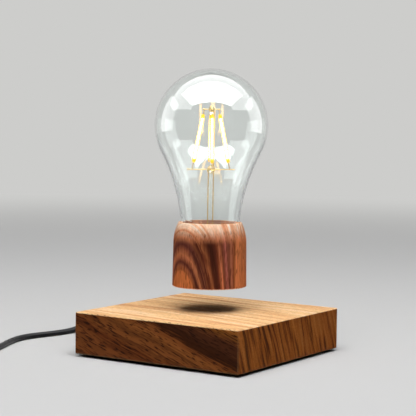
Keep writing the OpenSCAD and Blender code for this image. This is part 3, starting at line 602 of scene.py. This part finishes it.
# The base is one board of walnut, planed square, routed out from below, sanded and oiled.
# Its growth rings stand almost upright, so they run along the top and cross the near faces slantwise.
def oiled_walnut(name, log, zones, late, pale, year_mm, bold_years, fray_mm, open_grain, streaks_and_painted_top_light):
    """Oiled walnut: zones of year rings about the pith, dark late wood, open pores and fine fibre."""
    swell_mm = 38
    fibre_long_mm = 26
    fibre_wide_mm = 0.8
    pore_long_mm = 6
    pore_wide_mm = 0.64
    spell_years = 2.3
    sanded_edge = 0.9*MM
    wood = new_material(name)
    place = add_node(wood, "ShaderNodeTexCoord")
    in_mm = add_node(wood, "ShaderNodeVectorMath", {
        0: place.outputs["Object"], "Scale": 1/MM,
    }, operation="SCALE")
    # The tree's slow swell waves the rings by a few millimetres over the width of a hand.
    swell = add_node(wood, "ShaderNodeTexNoise", {
        "Vector": in_mm.outputs[0], "Scale": 1/swell_mm, "Detail": 3.0,
    })
    wave = add_node(wood, "ShaderNodeVectorMath", {0: swell.outputs["Color"], 1: (0.5, 0.5, 0.5)},
                    operation="SUBTRACT")
    wave = add_node(wood, "ShaderNodeVectorMath", {0: wave.outputs[0], "Scale": log["swell"]},
                    operation="SCALE")
    bent = add_node(wood, "ShaderNodeVectorMath", {0: wave.outputs[0], 1: in_mm.outputs[0]},
                    operation="ADD")
    pith = log["middle"] - log["pith_mm"]*log["outwards"]
    from_pith = add_node(wood, "ShaderNodeVectorMath", {0: bent.outputs[0], 1: pith}, operation="SUBTRACT")
    along = add_node(wood, "ShaderNodeVectorMath", {0: from_pith.outputs[0], 1: log["fibre"]},
                     operation="DOT_PRODUCT")
    lengthwise = add_node(wood, "ShaderNodeVectorMath", {0: log["fibre"], "Scale": along.outputs["Value"]},
                          operation="SCALE")
    across = add_node(wood, "ShaderNodeVectorMath", {0: from_pith.outputs[0], 1: lengthwise.outputs[0]},
                      operation="SUBTRACT")
    radius = add_node(wood, "ShaderNodeVectorMath", {0: across.outputs[0]}, operation="LENGTH")
    outside = add_node(wood, "ShaderNodeMath", {0: radius.outputs["Value"], 1: log["pith_mm"]},
                       operation="SUBTRACT")
    # Towards a fork the trunk spreads, so its rings widen with the square of the height.
    height = add_node(wood, "ShaderNodeSeparateXYZ", {0: in_mm.outputs[0]})
    risen = add_node(wood, "ShaderNodeMath", {0: height.outputs["Z"], 1: log["fork_from"]},
                     operation="SUBTRACT")
    squared = add_node(wood, "ShaderNodeMath", {0: risen.outputs[0], 1: risen.outputs[0]},
                       operation="MULTIPLY")
    spread = add_node(wood, "ShaderNodeMath", {0: squared.outputs[0], 1: log["spread"], 2: 1.0},
                      operation="MULTIPLY_ADD")
    distance = add_node(wood, "ShaderNodeMath", {0: outside.outputs[0], 1: spread.outputs[0]},
                        operation="DIVIDE")
    # Fibres are drawn out some thirty times along the grain and fray the edge of every ring.
    slender = add_node(wood, "ShaderNodeVectorMath", {0: across.outputs[0], "Scale": 1/fibre_wide_mm},
                       operation="SCALE")
    drawn = add_node(wood, "ShaderNodeVectorMath", {
        0: lengthwise.outputs[0], 1: [1/fibre_long_mm]*3, 2: slender.outputs[0],
    }, operation="MULTIPLY_ADD")
    fibres = add_node(wood, "ShaderNodeTexNoise", {
        "Vector": drawn.outputs[0], "Scale": 1.0, "Detail": 3.0,
    })
    fray = add_node(wood, "ShaderNodeMapRange", {
        "Value": fibres.outputs["Fac"], "From Min": 0.2, "From Max": 0.8,
        "To Min": -fray_mm, "To Max": fray_mm,
    })
    ring = add_node(wood, "ShaderNodeMath", {0: distance.outputs[0], 1: fray.outputs["Result"]},
                    operation="ADD")
    first, last = zones[0][0], zones[-1][0]
    zone = add_node(wood, "ShaderNodeMapRange", {
        "Value": ring.outputs[0], "From Min": first, "From Max": last,
    })
    ground = add_node(wood, "ShaderNodeValToRGB", {"Fac": zone.outputs["Result"]},
                      stops=[((mm - first)/(last - first), colour) for mm, colour in zones])
    # Within a year the wood darkens slowly outwards and ends at a sharp line. Good years are bolder.
    uneven = add_node(wood, "ShaderNodeTexNoise", {
        "W": distance.outputs[0], "Scale": 1/(spell_years*year_mm), "Detail": 1.0,
    }, noise_dimensions="1D")
    year = add_node(wood, "ShaderNodeMath", {0: ring.outputs[0], 1: 1/year_mm, 2: uneven.outputs["Fac"]},
                    operation="MULTIPLY_ADD")
    year = add_node(wood, "ShaderNodeMath", {0: year.outputs[0]}, operation="FRACT")
    darkening = add_node(wood, "ShaderNodeValToRGB", {"Fac": year.outputs[0]},
                         stops=[(0.3, "#000000"), (0.86, "#ffffff"), (1.0, "#000000")])
    bold = add_node(wood, "ShaderNodeMapRange", {
        "Value": uneven.outputs["Fac"], "From Min": 0.38, "From Max": 0.62,
        "To Min": 0.2*bold_years, "To Max": bold_years,
    })
    late_share = add_node(wood, "ShaderNodeMath", {
        0: darkening.outputs["Color"], 1: bold.outputs["Result"],
    }, operation="MULTIPLY")
    colour = add_node(wood, "ShaderNodeMix", {
        "Factor": late_share.outputs[0], "A": ground.outputs["Color"], "B": to_linear(late),
    }, data_type="RGBA")
    # A face that is cut another way through the log shows streaks of its own over the rings.
    # Faces turned upwards are painted paler this way too: painted light from above on the board's top and
    # the cap's shoulder.
    geometry = add_node(wood, "ShaderNodeNewGeometry")
    for cut in streaks_and_painted_top_light:
        turned = add_node(wood, "ShaderNodeVectorMath", {0: geometry.outputs["Normal"], 1: cut["normal"]},
                          operation="DOT_PRODUCT")
        turned = add_node(wood, "ShaderNodeMath", {0: turned.outputs["Value"]}, operation="ABSOLUTE")
        shown = add_node(wood, "ShaderNodeMapRange", {
            "Value": turned.outputs[0], "From Min": cut["from"], "From Max": cut["to"],
            "To Min": 0.0, "To Max": cut["share"],
        }, interpolation_type="SMOOTHSTEP")
        run = add_node(wood, "ShaderNodeVectorMath", {0: in_mm.outputs[0], 1: cut["along"]/cut["long_mm"]},
                       operation="DOT_PRODUCT")
        thin = add_node(wood, "ShaderNodeMath", {0: distance.outputs[0], 1: 1/cut["thin_mm"]},
                        operation="MULTIPLY")
        laid_out = add_node(wood, "ShaderNodeCombineXYZ", {"X": run.outputs["Value"], "Y": thin.outputs[0]})
        streaks = add_node(wood, "ShaderNodeTexNoise", {
            "Vector": laid_out.outputs[0], "Scale": 1.0, "Detail": 3.0,
        })
        streaked = add_node(wood, "ShaderNodeValToRGB", {"Fac": streaks.outputs["Fac"]},
                            stops=cut["colours"])
        colour = add_node(wood, "ShaderNodeMix", {
            "Factor": shown.outputs["Result"],
            "A": colour.outputs["Result"], "B": streaked.outputs["Color"],
        }, data_type="RGBA")
    shimmer = add_node(wood, "ShaderNodeMapRange", {
        "Value": fibres.outputs["Fac"], "From Min": 0.25, "From Max": 0.75, "To Min": 0.82, "To Max": 1.18,
    })
    lively = add_node(wood, "ShaderNodeHueSaturation", {
        "Color": colour.outputs["Result"], "Value": shimmer.outputs["Result"],
    })
    # Pores are 0.2 mm slots in the wood. They are drawn about three times as wide, so that they show.
    # Seen end on, where the face cuts across the fibre, they close up to nothing.
    slots = add_node(wood, "ShaderNodeVectorMath", {
        0: lengthwise.outputs[0], 1: [1/pore_long_mm]*3, 2: slender.outputs[0],
    }, operation="MULTIPLY_ADD")
    pores = add_node(wood, "ShaderNodeTexNoise", {
        "Vector": slots.outputs[0], "Scale": fibre_wide_mm/pore_wide_mm, "Detail": 1.0,
    })
    pores = add_node(wood, "ShaderNodeMapRange", {
        "Value": pores.outputs["Fac"], "From Min": 0.55, "From Max": 0.66,
        "To Min": 0.0, "To Max": open_grain,
    })
    end_on = add_node(wood, "ShaderNodeVectorMath", {0: geometry.outputs["Normal"], 1: log["fibre"]},
                      operation="DOT_PRODUCT")
    end_on = add_node(wood, "ShaderNodeMath", {0: end_on.outputs["Value"]}, operation="ABSOLUTE")
    along_face = add_node(wood, "ShaderNodeMapRange", {
        "Value": end_on.outputs[0], "From Min": 0.2, "From Max": 0.38, "To Min": 1.0, "To Max": 0.0,
    })
    open_pores = add_node(wood, "ShaderNodeMath", {
        0: pores.outputs["Result"], 1: along_face.outputs["Result"],
    }, operation="MULTIPLY")
    pored = add_node(wood, "ShaderNodeMix", {
        "Factor": open_pores.outputs[0], "A": lively.outputs["Color"], "B": to_linear(late),
    }, data_type="RGBA")
    # Sanding breaks the edges, and hands keep them paler than the faces.
    # The pale edge is also a painted highlight, for the light that the rounded edge catches.
    rounded = add_node(wood, "ShaderNodeBevel", {"Radius": sanded_edge}, samples=4)
    turned_away = add_node(wood, "ShaderNodeVectorMath", {
        0: rounded.outputs["Normal"], 1: geometry.outputs["Normal"],
    }, operation="DOT_PRODUCT")
    rubbed_and_highlit = add_node(wood, "ShaderNodeMapRange", {
        "Value": turned_away.outputs["Value"], "From Min": 0.99, "From Max": 0.75,
        "To Min": 0.0, "To Max": 0.3,
    })
    worn_and_highlit = add_node(wood, "ShaderNodeMix", {
        "Factor": rubbed_and_highlit.outputs["Result"], "A": pored.outputs["Result"], "B": to_linear(pale),
    }, data_type="RGBA")
    gloss = add_node(wood, "ShaderNodeMapRange", {
        "Value": fibres.outputs["Fac"], "From Min": 0.3, "From Max": 0.7, "To Min": 0.85, "To Max": 0.7,
    })
    relief = add_node(wood, "ShaderNodeMath", {0: open_pores.outputs[0], 1: -1.0, 2: fibres.outputs["Fac"]},
                      operation="MULTIPLY_ADD")
    grain = add_node(wood, "ShaderNodeBump", {
        "Strength": 0.3, "Distance": 0.12*MM, "Height": relief.outputs[0],
    })
    shader = add_node(wood, "ShaderNodeBsdfPrincipled", {
        "Base Color": worn_and_highlit.outputs["Result"], "Roughness": gloss.outputs["Result"], "IOR": 1.47,
        "Specular IOR Level": 0.1, "Normal": grain.outputs["Normal"],
    })
    add_node(wood, "ShaderNodeOutputMaterial", {"Surface": shader.outputs[0]})
    return wood


# Zones of the board's rings, in millimetres outwards from its middle: a dark heart streak crosses
# the near left face, and narrow dark zones stand about 15 mm apart across the near right one.
board = {
    "middle": Vector((0, 0, 0)), "outwards": Vector((0.086, 0.964, 0.249)).normalized(), "pith_mm": 260,
    "fibre": Vector((0.945, 0, -0.326)).normalized(), "fork_from": 0, "spread": 0, "swell": 4,
}
base_zones = [
    (-55, "#884d28"), (-49, "#8e512b"), (-47.4, "#6c371b"), (-46, "#93552c"), (-42.6, "#a26030"),
    (-41.7, "#905129"), (-40.9, "#3b1d0d"), (-39.4, "#432312"), (-37.9, "#512c1a"), (-36.4, "#5a321d"),
    (-35, "#a8652c"), (-15, "#a25f29"), (-12, "#874a1c"), (-3, "#7e451d"), (0.5, "#ab672e"), (4, "#a7632b"),
    (6, "#7c441d"), (10, "#7e461c"), (13, "#b06d2d"), (17, "#a6622a"), (20, "#78421c"), (26, "#7b441d"),
    (30, "#ad672a"), (36, "#a05c28"), (39, "#7c441e"), (43, "#904f26"), (55, "#7f4421"), (62, "#6d391d"),
]
up = Vector((0, 0, 1))
lengthways = Vector((1, 0, 0))
board_walnut = oiled_walnut(
    "oiled_walnut_board", board, base_zones, "#2b140b", "#e6bd8b",
    year_mm=2.1, bold_years=0.7, fray_mm=1.2, open_grain=0.95,
    streaks_and_painted_top_light=[
        {
            "normal": lengthways, "along": up, "from": 0.6, "to": 0.9, "share": 0.75,
            "thin_mm": 2.5, "long_mm": 34,
            "colours": [(0.36, "#2c1208"), (0.43, "#773e1b"), (0.5, "#b66629"), (0.68, "#cc7e3e")],
        },
        # Painted light: the upward top face is painted a pale honey tone, standing in for the light from
        # above that falls on it.
        {
            "normal": up, "along": lengthways, "from": 0.4, "to": 0.7, "share": 0.9,
            "thin_mm": 4.5, "long_mm": 90,
            "colours": [
                (0.3, "#bd8657"), (0.42, "#d6a474"), (0.52, "#e2b986"), (0.62, "#ebc9a0"), (0.76, "#d9a888"),
            ],
        },
    ],
)
dress(board_walnut, "base_block")


# A black moulded cover closes the base from below, held by four steel screws with hexagon sockets.
# Four soft rubber feet are stuck to it and lift the wood a little off the table.
dress(moulded_plastic("black_cover_abs", "#161618", "#1f1f22", "#2d2c30", 0.5, 0.55), "base_cover")
screw_steel = turned_metal("zinc_plated_steel", "#8f9396", "#c4c8ca", 0.28, 0.25)
dress(screw_steel, "cover_screws", "board_screws", "touch_spring", "coil_cores")
dress(moulded_plastic("soft_black_rubber", "#171717", "#202020", "#2e2d2c", 0.35, 0.75), "base_feet")


# Inside the base a circuit board carries the ring magnet, the steering coils and the small parts.
# The board is green glass-fibre laminate, and its parts are moulded in black epoxy.
laminate = moulded_plastic("green_glass_laminate", "#123d29", "#1c5a3b", "#2f7a52", 0.8, 0.4)
dress(laminate, "control_board", "rectifier_board")
epoxy = moulded_plastic("black_moulded_epoxy", "#18181a", "#222225", "#313034", 0.4, 0.5)
dress(epoxy, "hall_sensors", "driver_chips", "power_capacitors", "rectifier_parts", "dc_jack")
natural_nylon = moulded_plastic("natural_nylon", "#cfc8b4", "#e2dccb", "#efeade", 0.6, 0.45)
dress(natural_nylon, "coil_bobbins", "coil_carrier", "receive_former")
dress(turned_metal("sintered_ferrite", "#3a3a3d", "#55565a", 0.55, 0.6), "ring_magnet")
dress(turned_metal("nickel_plated_magnet", "#b9b7b1", "#dcdad4", 0.16, 0.4), "float_magnet")
enamelled_copper = turned_metal("enamelled_copper_wire", "#8f4a1e", "#c9773a", 0.3, 0.5)
dress(enamelled_copper, "coil_windings", "transmit_coil", "receive_coil")
dress(brass, "touch_pad")


# The cap is turned from one block of walnut, with a straight side that rolls over into a thin lip.
# The glass stands in its bore, and a black disc closes the chamber below.
cap_low, cap_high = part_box("wood_cap")
cap_r = (cap_high.x - cap_low.x)/2
cap_taper = 0.3*MM
shoulder_r = 24*MM
lip_w = 0.75*MM
foot_round = 0.4*MM
foot_ring = 0.03
lip_ease = 1.5
disc_gap = 0.1*MM
lip_round = 0.22*MM
cap_wall = 3.3*MM
seat_depth = 11*MM
web_t = 3*MM
web_hole_r = 6*MM
disc_low, disc_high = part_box("cap_disc")
disc_r = (disc_high.x - disc_low.x)/2
glass_low, glass_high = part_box("glass_globe")
globe_r = (glass_high.x - glass_low.x)/2
globe_z = glass_high.z - globe_r
neck_r = 15.2*MM
neck_drop = 60*MM
glass_t = 1*MM
glass_gap = 0.35*MM
reverse_r = (neck_drop**2 - globe_r**2 + neck_r**2)/(2*(globe_r - neck_r))
rim_rise = cap_high.z - (globe_z - neck_drop)
bore_r = neck_r + reverse_r - math.sqrt(reverse_r**2 - rim_rise**2) + glass_gap
rim_r = bore_r + lip_w
shoulder_top = cap_r - cap_taper
shoulder_in = shoulder_top - rim_r
shoulder_tall = math.sqrt(2*shoulder_r*shoulder_in - shoulder_in**2)
shoulder_end = math.degrees(math.asin(shoulder_tall/shoulder_r)) - lip_ease
shoulder_low = cap_high.z - shoulder_tall
chamber_r = cap_r - cap_wall
seat_z = cap_high.z - seat_depth
cap_outline = arc((cap_r - foot_round, cap_low.z + foot_round), foot_round, -90, 0, 5)
# A ring of points close above the foot keeps the shading of the straight side level.
cap_outline.append(tuple(Vector(cap_outline[-1]).lerp((shoulder_top, shoulder_low), foot_ring)))
cap_outline += arc((shoulder_top - shoulder_r, shoulder_low), shoulder_r, 0, shoulder_end, 20)
cap_outline += arc((rim_r - lip_round, cap_high.z - lip_round), lip_round, 45, 90, 3)
cap_outline += arc((bore_r + lip_round, cap_high.z - lip_round), lip_round, 90, 180, 4)
cap_outline += [
    (bore_r, seat_z), (web_hole_r, seat_z), (web_hole_r, seat_z - web_t), (chamber_r, seat_z - web_t),
    (chamber_r, disc_high.z), (disc_r + disc_gap, disc_high.z), (disc_r + disc_gap, cap_low.z),
]
# The block was sawn so that its rings arch over on the near left side and stand in stripes on the right.
# A dark heart streak runs down its near side. The shoulder is cut across the fibre, and its paler tone,
# strongest towards the lip, is a painted highlight of the light from above.
arch_side = Vector((-0.27, -0.963, 0))
heart_side = Vector((0.459, -0.889, 0))
block = {
    "middle": Vector((0, 0, (cap_low.z + cap_high.z)/2))/MM,
    "outwards": arch_side.normalized(), "pith_mm": 900, "fibre": up,
    "fork_from": cap_low.z/MM - 15, "spread": 0.00028, "swell": 1.2,
}
cap_zones = [
    (-20, "#6b3325"), (-16, "#b46238"), (-12, "#ca7648"), (-1.4, "#e58a55"), (-0.5, "#cf7a4a"),
    (0.1, "#834526"), (1.5, "#bc6e4f"), (2.85, "#734231"), (3.5, "#9b5643"), (4.1, "#bc6a5a"),
    (4.8, "#8f4d3c"), (5.35, "#6b3a28"), (6.0, "#b06442"), (6.5, "#da8259"), (7.2, "#8e4829"),
    (8.1, "#723626"), (8.7, "#4a2212"), (9.3, "#3f1c12"), (9.9, "#693420"), (10.3, "#a15a36"),
    (10.9, "#dc8450"), (11.5, "#a35a36"), (12.1, "#6a3222"), (12.7, "#a9633f"), (13.2, "#7a4334"),
    (13.8, "#5f3229"), (14.3, "#97553e"), (14.9, "#c97a50"), (15.4, "#b06548"), (15.9, "#562b23"),
    (16.3, "#9a583c"), (17, "#d27a46"),
]
cap_walnut = oiled_walnut(
    "oiled_walnut_turned", block, cap_zones, "#3d1912", "#fbe6cf",
    year_mm=1.1, bold_years=0.3, fray_mm=0.16, open_grain=0.5,
    streaks_and_painted_top_light=[{
        "normal": heart_side, "along": up, "from": 0.88, "to": 0.985, "share": 0.62,
        "thin_mm": 1.3, "long_mm": 40, "colours": [(0.42, "#2a120d"), (0.55, "#4a2217"), (0.61, "#a96a44")],
    }, {
        # Painted light: faces tilted a little upwards are painted slightly paler.
        "normal": up, "along": up, "from": 0.0, "to": 0.16, "share": 0.5, "thin_mm": 0.9, "long_mm": 30,
        "colours": [(0.36, "#d07c54"), (0.66, "#ea9668")],
    }, {
        # Painted highlight: the shoulder is painted paler still towards the lip.
        "normal": up, "along": up, "from": 0.1, "to": 0.42, "share": 0.94, "thin_mm": 0.9, "long_mm": 30,
        "colours": [(0.36, "#dc936c"), (0.48, "#f2bd98"), (0.56, "#f6d0b2"), (0.66, "#faeadb")],
    }],
)
cap = make_piece("turned_cap", turn_outline(cap_outline, steps=160), cap_walnut)
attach(cap, "bulb")
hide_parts("wood_cap")
dress(black_abs, "cap_disc")


# The bulb is blown in one piece from clear soda-lime glass, 1 mm thick.
# A round globe runs down in one long reverse curve to the neck, which is cemented into the cap.
def envelope(inset, steps):
    """Half section of one glass surface, from the top of the globe to the end of the neck."""
    spread = math.degrees(math.asin(neck_drop/(globe_r + reverse_r)))
    round_part = arc((0, globe_z), globe_r - inset, 90, -spread, steps)
    long_part = arc((neck_r + reverse_r, globe_z - neck_drop), reverse_r + inset, 180 - spread, 180, steps)
    return [(0, glass_high.z - inset), *round_part[1:], *long_part[1:]]


def clear_glass(name, tint):
    """Clear glass: it bends what stands behind it, mirrors the lights and is faintly green edge on."""
    glass = new_material(name)
    shader = add_node(glass, "ShaderNodeBsdfPrincipled", {
        "Base Color": to_linear(tint), "Roughness": 0.0, "IOR": 1.5, "Transmission Weight": 1.0,
    })
    through_glass = add_node(glass, "ShaderNodeBsdfTransparent", {"Color": to_linear(tint)})
    ray = add_node(glass, "ShaderNodeLightPath")
    surface = add_node(glass, "ShaderNodeMixShader", {
        0: ray.outputs["Is Shadow Ray"], 1: shader.outputs[0], 2: through_glass.outputs[0],
    })
    add_node(glass, "ShaderNodeOutputMaterial", {"Surface": surface.outputs[0]})
    return glass


neck_edge = 0.3*MM
neck_in = neck_r - glass_t
glass_steps = 72
glass_outline = envelope(0, glass_steps)
glass_outline += [(neck_r, glass_low.z + neck_edge), (neck_r - neck_edge, glass_low.z)]
glass_outline += [(neck_in + neck_edge, glass_low.z), (neck_in, glass_low.z + neck_edge)]
glass_outline += list(reversed(envelope(glass_t, glass_steps)))
bulb_glass = clear_glass("blown_soda_lime_glass", "#fafdfc")
globe = make_piece("glass_envelope", turn_outline(glass_outline, steps=160), bulb_glass, sharp_above=60)
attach(globe, "bulb")
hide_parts("glass_globe")
dress(natural_nylon, "neck_cement")


# The mount is a clear glass stem: a flare fused into the neck and drawn up into a thin rod.
# A bead on the rod holds the lower supports, and a smaller one at its end the upper supports.
stem_low, stem_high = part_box("glass_stem")
flare_r = (stem_high.x - stem_low.x)/2
rod_r = 0.8*MM
upper_bead_r = 1.6*MM
lower_bead_r = 2.3*MM
upper_z = stem_high.z - upper_bead_r
lower_bead_drop = 23*MM
lower_z = globe_z - lower_bead_drop
flare_tall = 8*MM
flare_edge = 1.2*MM
flare_steps = 16
stem_outline = [(0, stem_low.z), (flare_r, stem_low.z), (flare_r, stem_low.z + flare_edge)]
for i in range(1, flare_steps + 1):
    climb = i/flare_steps
    stem_outline.append((
        rod_r + (flare_r - rod_r)*(1 - climb)**3,
        stem_low.z + flare_edge + (flare_tall - flare_edge)*climb,
    ))
lower_tuck = math.degrees(math.acos(rod_r/lower_bead_r))
upper_tuck = math.degrees(math.acos(rod_r/upper_bead_r))
stem_outline += arc((0, lower_z), lower_bead_r, -lower_tuck, lower_tuck, 14)
stem_outline += arc((0, upper_z), upper_bead_r, -upper_tuck, 89, 14) + [(0, stem_high.z)]
stem_glass = clear_glass("drawn_lead_glass", "#fbfcfa")
stem = make_piece("glass_mount", turn_outline(stem_outline, steps=48), stem_glass, sharp_above=60)
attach(stem, "bulb")
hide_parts("glass_stem")


# Two lead wires, drawn bright and clad in copper so that glass seals to them, run up beside the rod.
# Springy nickel wires, which sealing has tinted straw yellow, hold the filaments apart.
# The filaments' tails are flattened brass strip.
lead_wire = turned_metal("copper_clad_wire", "#b08a38", "#e2bd62", 0.3, 0.2)
dress(lead_wire, "lead_wires")
support_wire = turned_metal("straw_tinted_nickel_wire", "#c8a85a", "#f2dc96", 0.3, 0.2)
dress(support_wire, "upper_supports", "lower_supports")
dress(brass, "filament_tails")


# Each filament is a row of blue LED chips on a glass strip, moulded into a yellow phosphor rod.
# Lit, the row glows white-hot through the middle, the rod's sides glow yellow and its ends stay lemon.
filament_r = 0.95*MM
filament_l = 26*MM
cage_top_r = 3.8*MM
cage_bottom_r = 10*MM
cage_turn = math.radians(37)
cage_line = Vector((cage_bottom_r - cage_top_r, 0, lower_z - upper_z))
filament_raised = 0.5*MM
filament_from = (cage_line.length - filament_l)/2 - filament_raised
bare_end = 2.2*MM
core_r = 0.6*MM
core_waist_r = 0.8*core_r
chip_pitch = 1.1*MM
chip_from = 0.3*chip_pitch
chip_to = 0.7*chip_pitch
powder_mm = 0.4


def moulded_phosphor(name, settled, thin, glow, strength, cover):
    """Phosphor powder in silicone: dull, grainy, deeper yellow where it settled, lit from within."""
    silicone = new_material(name)
    place = add_node(silicone, "ShaderNodeTexCoord")
    powder = add_node(silicone, "ShaderNodeTexNoise", {
        "Vector": place.outputs["Object"], "Scale": 1/(powder_mm*MM), "Detail": 3.0,
    })
    tone = add_node(silicone, "ShaderNodeValToRGB", {"Fac": powder.outputs["Fac"]},
                    stops=[(0.35, settled), (0.65, thin)])
    skin = add_node(silicone, "ShaderNodeBump", {
        "Strength": 0.3, "Distance": 0.04*MM, "Height": powder.outputs["Fac"],
    })
    shader = add_node(silicone, "ShaderNodeBsdfPrincipled", {
        "Base Color": tone.outputs["Color"], "Roughness": 0.42, "IOR": 1.41, "Alpha": cover,
        "Emission Color": to_linear(glow), "Emission Strength": strength, "Normal": skin.outputs["Normal"],
    })
    add_node(silicone, "ShaderNodeOutputMaterial", {"Surface": shader.outputs[0]})
    return silicone


coat = moulded_phosphor("lit_yellow_phosphor", "#dda62c", "#f2cb50", "#ffb61c", 4.5, 0.55)
ends = moulded_phosphor("lemon_phosphor_ends", "#e6b424", "#f6d044", "#ffc414", 0.75, 1.0)
chips_lit = new_material("lit_chip_row")
glow = add_node(chips_lit, "ShaderNodeEmission", {"Color": to_linear("#ffdc92"), "Strength": 18.0})
add_node(chips_lit, "ShaderNodeOutputMaterial", {"Surface": glow.outputs[0]})

rod_outline = [(0, 0)] + arc((0, filament_r), filament_r, -89, 0, 6)
rod_outline += [(filament_r, bare_end), (filament_r, filament_l - bare_end)]
rod_outline += arc((0, filament_l - filament_r), filament_r, 0, 89, 6) + [(0, filament_l)]
core_outline = [(0, bare_end)]
chips = int((filament_l - 2*bare_end)/chip_pitch)
for chip in range(chips):
    start = bare_end + (filament_l - 2*bare_end)*chip/chips
    core_outline += [(core_waist_r, start), (core_r, start + chip_from), (core_r, start + chip_to)]
core_outline += [(core_waist_r, filament_l - bare_end), (0, filament_l - bare_end)]
downwards = up.rotation_difference(cage_line).to_matrix().to_4x4()
for k in range(4):
    round_axis = Matrix.Rotation(cage_turn + k*math.pi/2, 4, "Z")
    start = Vector((cage_top_r, 0, upper_z)) + cage_line.normalized()*filament_from
    on_line = round_axis @ Matrix.Translation(start) @ downwards
    rod_mesh = turn_outline(rod_outline, 24)
    for face in rod_mesh.faces:
        height = face.calc_center_median().z
        face.material_index = int(height < bare_end or height > filament_l - bare_end)
    rod_mesh.transform(on_line)
    rod = make_piece("filament_%d" % (k + 1), rod_mesh, coat)
    rod.data.materials.append(ends)
    core_mesh = turn_outline(core_outline, 12)
    core_mesh.transform(on_line)
    core = make_piece("filament_chips_%d" % (k + 1), core_mesh, chips_lit)
    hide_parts("led_filaments")
    for piece in (rod, core):
        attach(piece, "bulb")
